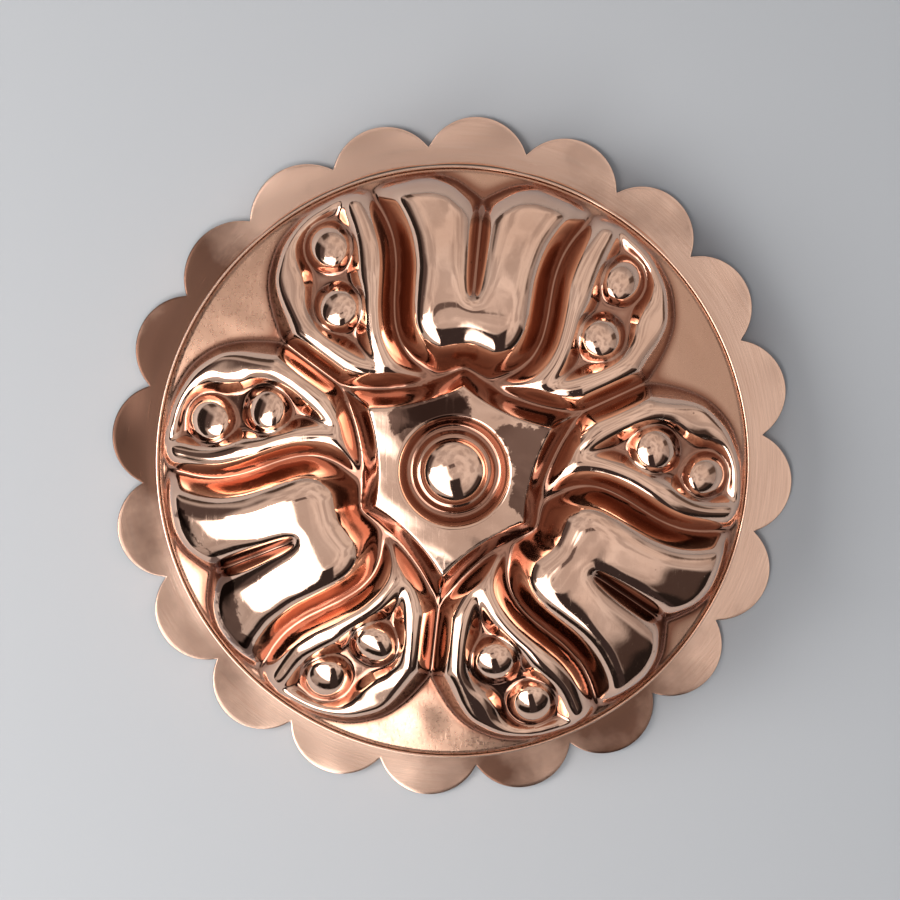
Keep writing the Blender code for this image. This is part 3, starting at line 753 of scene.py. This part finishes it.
def crown_copper():
    """Copper burnished on the relief, rubbed satin on the plain dome: the relief mirrors the
    room, the dome scatters it along fine scratches, and tarnish with painted shade browns the
    hollows, creases and steep walls. Painted dark reflections mark the star's top and the
    nose of one tulip."""
    material, tree, shader = new_metal("burnished_copper")
    place = node(tree, "TexCoord").outputs["Object"]
    figure = node(tree, "Attribute", attribute_name="figure").outputs["Fac"]
    tarnish_and_shade_at = node(tree, "Attribute", attribute_name="tarnish_and_shade").outputs["Fac"]
    stain = node(tree, "TexNoise", {
        "Vector": place, "Scale": 1 / (18 * MM), "Detail": 7.0, "Roughness": 0.6,
    })
    speckle = node(tree, "TexNoise", {"Vector": place, "Scale": 1 / (1.3 * MM), "Detail": 5.0})
    stain_share = node(tree, "MapRange", {
        "Value": stain.outputs["Fac"], "From Min": 0.35, "From Max": 0.75, "To Max": 0.75,
    })
    tone = node(tree, "Mix", {
        0: stain_share.outputs[0], "A": copper_fresh, "B": copper_worn,
    }, data_type="RGBA")
    # Brown tarnish with painted shade, read from the crown's attribute.
    tarnish_and_shade_amount = node(tree, "MapRange", {
        "Value": tarnish_and_shade_at, "From Min": 0.2, "From Max": 1.0, "To Max": 0.7,
    })
    rubbed = node(tree, "MapRange", {"Value": figure, "To Min": 0.75, "To Max": 0.0})
    plain = node(tree, "Mix", {
        0: rubbed.outputs[0], "A": tone.outputs["Result"], "B": linear("cf9f84"),
    }, data_type="RGBA")
    # Painted dark reflections from the stain attribute, with a ragged edge, in a dark brown.
    dark_reflection_at = node(tree, "Attribute", attribute_name="stain").outputs["Fac"]
    ragged = node(tree, "TexNoise", {
        "Vector": place, "Scale": 1 / (3 * MM), "Detail": 8.0, "Roughness": 0.65,
    })
    dark_reflection_edge = node(tree, "Math", {
        0: ragged.outputs["Fac"], 1: 2.4, 2: dark_reflection_at,
    }, operation="MULTIPLY_ADD")
    dark_reflection_share = node(tree, "MapRange", {
        "Value": dark_reflection_edge.outputs[0], "From Min": 1.1, "From Max": 1.35, "To Max": 0.85,
    })
    with_dark_reflections = node(tree, "Mix", {
        0: dark_reflection_share.outputs[0], "A": plain.outputs["Result"], "B": linear("54352d"),
    }, data_type="RGBA")
    tarnished_and_shaded = node(tree, "Mix", {
        0: tarnish_and_shade_amount.outputs[0], "A": with_dark_reflections.outputs["Result"], "B": tarnish_and_shade_brown,
    }, data_type="RGBA")

    pit_cells = node(tree, "TexVoronoi", {"Vector": place, "Scale": 1 / (4.5 * MM)})
    pit_size = node(tree, "SeparateColor", {"Color": pit_cells.outputs["Color"]})
    pit_radius = node(tree, "MapRange", {
        "Value": pit_size.outputs[0], "From Min": 0.55, "To Min": 0.0, "To Max": 0.12,
    })
    pit = node(tree, "MapRange", {
        "Value": pit_cells.outputs["Distance"], "From Min": pit_radius.outputs[0], "From Max": 0.0,
        "To Max": 1.0,
    })
    dotted = node(tree, "Mix", {
        0: pit.outputs[0], "A": tarnished_and_shaded.outputs["Result"], "B": linear("4a2c20"),
    }, data_type="RGBA")
    tree.links.new(dotted.outputs["Result"], shader.inputs["Base Color"])

    # Fine scratches in three directions, each as long as its stretch and drawn coarse enough
    # to show.
    scratch_sum = None
    for turn, (heading, stretch) in enumerate([(1.35, 26), (0.35, 40), (2.3, 34)]):
        lengthened = node(tree, "Mapping", {
            "Vector": place, "Rotation": (0, 0, heading), "Scale": (1, 1 / stretch, 1),
        })
        fibre = node(tree, "TexNoise", {
            "Vector": lengthened.outputs[0], "Scale": 1 / ((0.9 + 0.5 * turn) * MM), "Detail": 3.0,
        })
        line = node(tree, "MapRange", {
            "Value": fibre.outputs["Fac"], "From Min": 0.62, "From Max": 0.74, "To Max": 1.0,
        })
        if scratch_sum is None:
            scratch_sum = line.outputs[0]
        else:
            both = node(tree, "Math", {0: scratch_sum, 1: line.outputs[0]}, operation="MAXIMUM")
            scratch_sum = both.outputs[0]
    dull = node(tree, "MapRange", {"Value": figure, "To Min": 0.26, "To Max": 0.055})
    spread = node(tree, "MapRange", {"Value": speckle.outputs["Fac"], "To Min": 0.7, "To Max": 1.5})
    satin = node(tree, "Math", {0: dull.outputs[0], 1: spread.outputs[0]}, operation="MULTIPLY")
    marked = node(tree, "Math", {
        0: scratch_sum, 1: 0.12, 2: satin.outputs[0],
    }, operation="MULTIPLY_ADD")
    grime = node(tree, "Math", {
        0: tarnish_and_shade_amount.outputs[0], 1: 0.05, 2: marked.outputs[0],
    }, operation="MULTIPLY_ADD")
    tree.links.new(grime.outputs[0], shader.inputs["Roughness"])

    scratch_depth = node(tree, "MapRange", {"Value": figure, "To Min": 0.3, "To Max": 0.05})
    scratches = node(tree, "Bump", {
        "Height": scratch_sum, "Strength": scratch_depth.outputs[0], "Distance": 0.05 * MM,
    }, invert=True)
    pits = node(tree, "Bump", {
        "Height": pit.outputs[0], "Strength": 0.4, "Distance": 0.1 * MM,
        "Normal": scratches.outputs[0],
    }, invert=True)
    ripple = node(tree, "TexNoise", {"Vector": place, "Scale": 1 / (5 * MM), "Detail": 2.0})
    uneven = node(tree, "Bump", {
        "Height": ripple.outputs["Fac"], "Strength": 0.12, "Distance": 0.25 * MM,
        "Normal": pits.outputs[0],
    })
    tree.links.new(uneven.outputs[0], shader.inputs["Normal"])
    return material


crown.data.materials.append(crown_copper())
crown.data.materials.append(wiped_tin)
slots = np.zeros(len(crown.data.polygons), dtype=np.int32)
slots[copper_faces:] = 1
crown.data.polygons.foreach_set("material_index", slots)

# Crown solder: tin run round the inside corner under the crown's turned-down lip, where it
# holds the crown in the band. It is wiped smooth while soft, and stays dull.
seam_gap = 0.05 * MM
crown_solder_leg = 2.0 * MM


def solder_metal():
    """Old soft solder: dull grey tin with slight ripples from the iron. It gives a grey line
    with a broken shine."""
    material, tree, shader = new_metal("soft_solder")
    place = node(tree, "TexCoord").outputs["Object"]
    bead = node(tree, "TexNoise", {"Vector": place, "Scale": 1 / (3 * MM), "Detail": 4.0})
    tone = node(tree, "Mix", {
        0: bead.outputs["Fac"], "A": linear("b5b0a8"), "B": linear("7f7a73"),
    }, data_type="RGBA")
    tree.links.new(tone.outputs["Result"], shader.inputs["Base Color"])
    rough = node(tree, "MapRange", {"Value": bead.outputs["Fac"], "To Min": 0.35, "To Max": 0.6})
    tree.links.new(rough.outputs[0], shader.inputs["Roughness"])
    lumps = node(tree, "Bump", {
        "Height": bead.outputs["Fac"], "Strength": 0.4, "Distance": 0.3 * MM,
    })
    tree.links.new(lumps.outputs[0], shader.inputs["Normal"])
    return material


soft_solder = solder_metal()


def solder_run(name, corner, across, up, node_name):
    """A run in a corner with a hollowed face, across and up along the two sheets."""
    x, z = corner
    section = [(x, z), (x + across, z)]
    for angle in np.radians([15, 30, 45, 60, 75]):
        section.append((x + across * (1 - math.sin(angle)), z + up * (1 - math.cos(angle))))
    section.append((x, z + up))
    faces = grid_faces(len(section), band_steps)
    if across * up < 0:
        faces = [f[::-1] for f in faces]
    run = add_piece(name, turned(section, band_steps), faces, "solder", node_name)
    run.data.materials.append(soft_solder)


solder_run(
    "crown_solder_run", (wall_inside - seam_gap, lip_low - seam_gap), -sheet, -crown_solder_leg,
    "crown_solder",
)

# Scalloped rim: a flat ring of the same sheet, its lobes cut by hand with snips and filed,
# lapped on the band's foot. It is brushed round by cleaning and never quite flat.
scallops = 20
(_, _, rim_low), (_, _, rim_top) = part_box("scalloped_rim")
tip_radius = 120.0 * MM
notch_depth = 10.5 * MM
first_scallop = math.radians(13.4)
scallop_trim = {
    5: 1.1 * MM, 6: 2.5 * MM, 7: 2.5 * MM, 8: 1.1 * MM, 10: -1.0 * MM, 12: -1.0 * MM,
}
lobe_steps = 36
rim_rows = 16
rim_round = 0.38 * MM
rim_gap = 0.3 * MM
hole_radius = shoulder_radius + bend_radius + rim_gap


def rim_edge():
    """Scalloped edge, one arc a lobe from notch to notch."""
    pitch = 2 * math.pi / scallops
    notch = tip_radius - notch_depth
    places = []
    for k in range(scallops):
        tip = tip_radius - scallop_trim.get(k, 0)
        centre = (tip**2 - notch**2) / (2 * (tip - notch * math.cos(pitch / 2)))
        sweep = math.atan2(notch * math.sin(pitch / 2), notch * math.cos(pitch / 2) - centre)
        middle = first_scallop + k * pitch
        for step in range(lobe_steps):
            heading = middle + sweep * (2 * step / lobe_steps - 1)
            places.append((
                centre * math.cos(middle) + (tip - centre) * math.cos(heading),
                centre * math.sin(middle) + (tip - centre) * math.sin(heading),
            ))
    return np.array(places)


edge = rim_edge()
edge_count = len(edge)
ahead = np.roll(edge, -1, axis=0) - np.roll(edge, 1, axis=0)
outward_normal = np.stack([ahead[:, 1], -ahead[:, 0]], 1) / np.hypot(*ahead.T)[:, None]
hole = edge / np.hypot(*edge.T)[:, None] * hole_radius
inner_edge = edge - outward_normal * rim_round
rows = []


def rim_row(place, z):
    """A row of points all round the rim, at one height."""
    rows.append(np.column_stack([place, np.full(edge_count, z)]))


for share in np.linspace(0, 1, rim_rows):
    rim_row(hole + (inner_edge - hole) * share, rim_top)
for angle in np.radians([60, 30, 0]):
    place = inner_edge + outward_normal * rim_round * math.cos(angle)
    rim_row(place, rim_top - rim_round * (1 - math.sin(angle)))
for angle in np.radians([0, 30, 60]):
    place = inner_edge + outward_normal * rim_round * math.cos(angle)
    rim_row(place, rim_low + rim_round * (1 - math.sin(angle)))
for share in np.linspace(1, 0, rim_rows):
    rim_row(hole + (inner_edge - hole) * share, rim_low)
rim_points = np.vstack(rows)
rim_x, rim_y = rim_points[:, 0], rim_points[:, 1]
out_share = ramp((np.hypot(rim_x, rim_y) - foot_radius) / (tip_radius - foot_radius))
rim_wave, rim_wave_length, rim_wave_seed = 0.35 * MM, 30 * MM, 8
waves = hand_waves(rim_x, rim_y, rim_wave_length, rim_wave_seed)
rim_points[:, 2] += out_share * rim_wave * waves

# The lobes round one direction are bent up a little.
lift_heading, lift_spread, lift = math.radians(206), 0.55, 0.8 * MM
lifted = np.exp(-((np.arctan2(rim_y, rim_x) % (2 * math.pi) - lift_heading) / lift_spread) ** 2)
rim_points[:, 2] += out_share * lift * lifted
rim = add_piece(
    "scalloped_rim_sheet", rim_points, grid_faces(len(rows), edge_count), "copper_rim",
    "scalloped_rim",
)

# Where the rim is darker, as brown patina and as painted shade on the lobes toward the lower
# left: the angle from +X and half the width, in degrees, and the depth of tone.
patina_and_shade_lobes = [
    (144, 14, 1.1), (169, 15, 1.3), (276, 13, 0.8), (302, 16, 1.1), (50, 12, 0.4),
    (190, 16, 0.6), (218, 14, 0.5),
]
around = np.degrees(np.arctan2(rim_y, rim_x))
patina_and_shade = np.zeros(len(rim_points))
for middle, half, depth in patina_and_shade_lobes:
    away = np.abs((around - middle + 180) % 360 - 180)
    patina_and_shade += depth * np.exp(-((away / half) ** 2))
patina_and_shade_layer = rim.data.attributes.new("patina_and_shade", "FLOAT", "POINT")
patina_and_shade_layer.data.foreach_set("value", patina_and_shade)


def rim_copper():
    """Satin copper, rubbed round and round with a cloth and scouring sand: fine rings of
    brushing, with brown patches that the cloth missed and painted shade on some lobes."""
    material, tree, shader = new_metal("brushed_copper")
    place = node(tree, "TexCoord").outputs["Object"]
    parts = node(tree, "SeparateXYZ", {"Vector": place})
    flat_place = node(tree, "CombineXYZ", {"X": parts.outputs["X"], "Y": parts.outputs["Y"]})
    radius = node(tree, "VectorMath", {0: flat_place.outputs[0]}, operation="LENGTH")
    ring_place = node(tree, "Math", {
        0: radius.outputs["Value"], 1: 1 / (0.35 * MM),
    }, operation="MULTIPLY")
    along = node(tree, "Mapping", {"Vector": place, "Scale": (60, 60, 60)})
    along_parts = node(tree, "SeparateXYZ", {"Vector": along.outputs[0]})
    brush_place = node(tree, "CombineXYZ", {
        "X": ring_place.outputs[0], "Y": along_parts.outputs["X"], "Z": along_parts.outputs["Y"],
    })
    brushing = node(tree, "TexNoise", {
        "Vector": brush_place.outputs[0], "Scale": 1.0, "Detail": 3.0,
    })
    stain = node(tree, "TexNoise", {
        "Vector": place, "Scale": 1 / (30 * MM), "Detail": 6.0, "Roughness": 0.55,
    })
    # Brown patina and painted shade on the darker lobes.
    patina_and_shade_at = node(tree, "Attribute", attribute_name="patina_and_shade").outputs["Fac"]
    brown_part = node(tree, "Math", {
        0: patina_and_shade_at, 1: 0.6, 2: stain.outputs["Fac"],
    }, operation="MULTIPLY_ADD")
    brown = node(tree, "MapRange", {
        "Value": brown_part.outputs[0], "From Min": 0.6, "From Max": 1.15, "To Max": 0.9,
    })
    worn = node(tree, "MapRange", {
        "Value": brushing.outputs["Fac"], "From Min": 0.3, "From Max": 0.9,
    })
    tone = node(tree, "Mix", {
        0: worn.outputs[0], "A": linear("fbd6c0"), "B": copper_worn,
    }, data_type="RGBA")
    patched = node(tree, "Mix", {
        0: brown.outputs[0], "A": tone.outputs["Result"], "B": linear("603a29"),
    }, data_type="RGBA")
    tree.links.new(patched.outputs["Result"], shader.inputs["Base Color"])
    rough = node(tree, "MapRange", {
        "Value": brushing.outputs["Fac"], "To Min": 0.14, "To Max": 0.32,
    })
    tree.links.new(rough.outputs[0], shader.inputs["Roughness"])
    lines = node(tree, "Bump", {
        "Height": brushing.outputs["Fac"], "Strength": 0.2, "Distance": 0.06 * MM,
    })
    tree.links.new(lines.outputs[0], shader.inputs["Normal"])
    return material


rim.data.materials.append(rim_copper())

# Rim solder: tin run into the outer corner between the band and the rim with an iron. It
# seals the lap and leaves a narrow grey line round the foot of the side.
rim_solder_leg = 1.4 * MM
solder_run(
    "rim_solder_run", (shoulder_radius + seam_gap, rim_top + seam_gap), rim_solder_leg,
    rim_solder_leg, "rim_solder",
)

# Studio: a pale matt table top, one soft light from the left of the picture and one from
# below it, and a plain room that only the polished copper mirrors.
floor_half = 2.5
floor_mesh = bpy.data.meshes.new("floor")
floor_mesh.from_pydata(
    [(-floor_half, -floor_half, 0), (floor_half, -floor_half, 0), (floor_half, floor_half, 0),
     (-floor_half, floor_half, 0)], [], [(0, 1, 2, 3)],
)
floor = bpy.data.objects.new("floor", floor_mesh)
bpy.context.scene.collection.objects.link(floor)
# Matt paint scatters all light, so the table shows only the mould's soft shadow.
paint = bpy.data.materials.new("matt_paint")
paint.use_nodes = True
paint_shader = paint.node_tree.nodes["Principled BSDF"]
paint_shader.inputs["Base Color"].default_value = linear("bababb")
paint_shader.inputs["Roughness"].default_value = 0.9
floor_mesh.materials.append(paint)


def area_light(name, place, aim, width, height, power):
    """A soft rectangular light that faces the point it is aimed at."""
    lamp = bpy.data.lights.new(name, "AREA")
    lamp.shape = "RECTANGLE"
    lamp.size = width
    lamp.size_y = height
    lamp.energy = power
    holder = bpy.data.objects.new(name, lamp)
    holder.location = place
    direction = mathutils.Vector(aim) - mathutils.Vector(place)
    holder.rotation_euler = direction.to_track_quat("-Z", "Y").to_euler()
    holder.visible_glossy = False
    bpy.context.scene.collection.objects.link(holder)


def from_zenith(azimuth, tilt):
    """Unit direction: turn from +X towards +Y, and tilt down from straight up, in degrees."""
    turn, lean = math.radians(azimuth), math.radians(tilt)
    level = math.sin(lean)
    return mathutils.Vector((level * math.cos(turn), level * math.sin(turn), math.cos(lean)))


lit_place = (0, 0, 0.03)
light_away = 1.25
area_light("window_left", from_zenith(183, 54) * light_away, lit_place, 0.75, 0.60, 13.5)
area_light("window_low", from_zenith(244, 41) * light_away, lit_place, 0.50, 0.60, 6.5)

world = bpy.data.worlds.new("studio")
bpy.context.scene.world = world
world.use_nodes = True
sky = world.node_tree
sky.nodes.clear()
towards = node(sky, "TexCoord").outputs["Generated"]
height = node(sky, "SeparateXYZ", {"Vector": towards}).outputs["Z"]
rise = node(sky, "MapRange", {"Value": height, "From Min": 0.0, "From Max": 0.9})
walls = node(sky, "Mix", {
    0: rise.outputs[0], "A": linear("a5a3a3"), "B": linear("efeae6"),
}, data_type="RGBA")
clutter = node(sky, "TexNoise", {"Vector": towards, "Scale": 3.5, "Detail": 3.0})
clutter_share = node(sky, "MapRange", {
    "Value": clutter.outputs["Fac"], "From Min": 0.42, "From Max": 0.6, "To Max": 0.5,
})


def hang(behind, azimuth, tilt, half_width, half_height, edge, colour):
    """Hang a card in the room, sizes in degrees: its colour over what is behind it."""
    middle = from_zenith(azimuth, tilt)
    sideways = mathutils.Vector((-middle.y, middle.x, 0)).normalized()
    upwards = middle.cross(sideways)
    facing = node(sky, "VectorMath", {0: towards, 1: middle}, operation="DOT_PRODUCT")
    ahead = facing.outputs["Value"]
    cover = node(sky, "Math", {0: ahead, 1: 0.0}, operation="GREATER_THAN").outputs[0]
    for axis, half in ((sideways, half_width), (upwards, half_height)):
        shifted = node(sky, "VectorMath", {0: towards, 1: axis}, operation="DOT_PRODUCT")
        angle = node(sky, "Math", {0: shifted.outputs["Value"], 1: ahead}, operation="ARCTAN2")
        away = node(sky, "Math", {0: angle.outputs[0]}, operation="ABSOLUTE")
        inside = node(sky, "MapRange", {
            "Value": away.outputs[0], "From Min": math.radians(half + edge),
            "From Max": math.radians(half - edge),
        }, interpolation_type="SMOOTHSTEP")
        both = node(sky, "Math", {0: cover, 1: inside.outputs[0]}, operation="MULTIPLY")
        cover = both.outputs[0]
    card = node(sky, "Mix", {0: cover, "A": behind, "B": colour}, data_type="RGBA")
    return card.outputs["Result"]


def bright(hex_colour, times):
    """A colour as a card shows it that is lit more or less than the rest of the room."""
    red, green, blue, _ = linear(hex_colour)
    return (red * times, green * times, blue * times, 1)


# A pale wall across the top and right of the picture, with soft darker patches in front.
room = hang(walls.outputs["Result"], 62, 56, 52, 16, 8, bright("efe8e2", 0.85))
crowded = node(sky, "Mix", {
    0: clutter_share.outputs[0], "A": room, "B": linear("8f8480"),
}, data_type="RGBA")
room = crowded.outputs["Result"]

# Cards in the order they are hung: azimuth, tilt from straight up, half width, half height and
# softness of the edge in degrees, and colour. The white ones are the bright openings on the
# left and below, and the dark ones stand low round the table or lean over it.
cards = [
    (165, 70, 20, 14, 6, linear("5a5150")),
    (320, 70, 24, 12, 5, linear("4a403d")),
    (222, 28, 26, 14, 3, bright("ffffff", 2.8)),
    (230, 50, 34, 11, 3, bright("ffffff", 5.0)),
    (196, 22, 9, 10, 2, bright("ffffff", 2.8)),
    (190, 43, 10, 12, 2, bright("ffffff", 9.0)),
    (180, 82, 34, 10, 3, linear("2c2827")),
    (290, 82, 52, 11, 3, linear("262221")),
    (122, 84, 10, 8, 3, linear("4e4642")),
    (20, 82, 8, 9, 3, linear("5d524c")),
    (280, 54, 12, 35, 2, linear("3b3536")),
    (113, 6.5, 7, 4, 1, linear("6c6260")),
]
for card in cards:
    room = hang(room, *card)
mirrored = node(sky, "LightPath").outputs["Is Glossy Ray"]
glow = node(sky, "Background", {"Color": room, "Strength": 1.0})
plain_glow = node(sky, "Background", {"Color": linear("c3c8cf"), "Strength": 0.57})
seen = node(sky, "MixShader", {0: mirrored, 1: plain_glow.outputs[0], 2: glow.outputs[0]})
node(sky, "OutputWorld", {"Surface": seen.outputs[0]})

# Camera: straight above the table, tipped a little, as the photograph was taken.
frame_pixels = 900
pixels_per_metre = 2840
distance = 0.85
camera_data = bpy.data.cameras.new("camera")
camera_data.sensor_width = 36
camera_data.lens = pixels_per_metre * distance / frame_pixels * camera_data.sensor_width
camera = bpy.data.objects.new("camera", camera_data)
camera.location = (-0.007, 0.063, distance)
aim = mathutils.Vector((-0.0009, 0.0030, 0))
look = aim - camera.location
depth_axis = -look.normalized()
right_axis = mathutils.Vector((0, 1, 0)).cross(depth_axis).normalized()
up_axis = depth_axis.cross(right_axis)
camera.rotation_euler = mathutils.Matrix((right_axis, up_axis, depth_axis)).transposed().to_euler()
bpy.context.scene.collection.objects.link(camera)
bpy.context.scene.camera = camera
bpy.context.scene.view_settings.view_transform = "Standard"
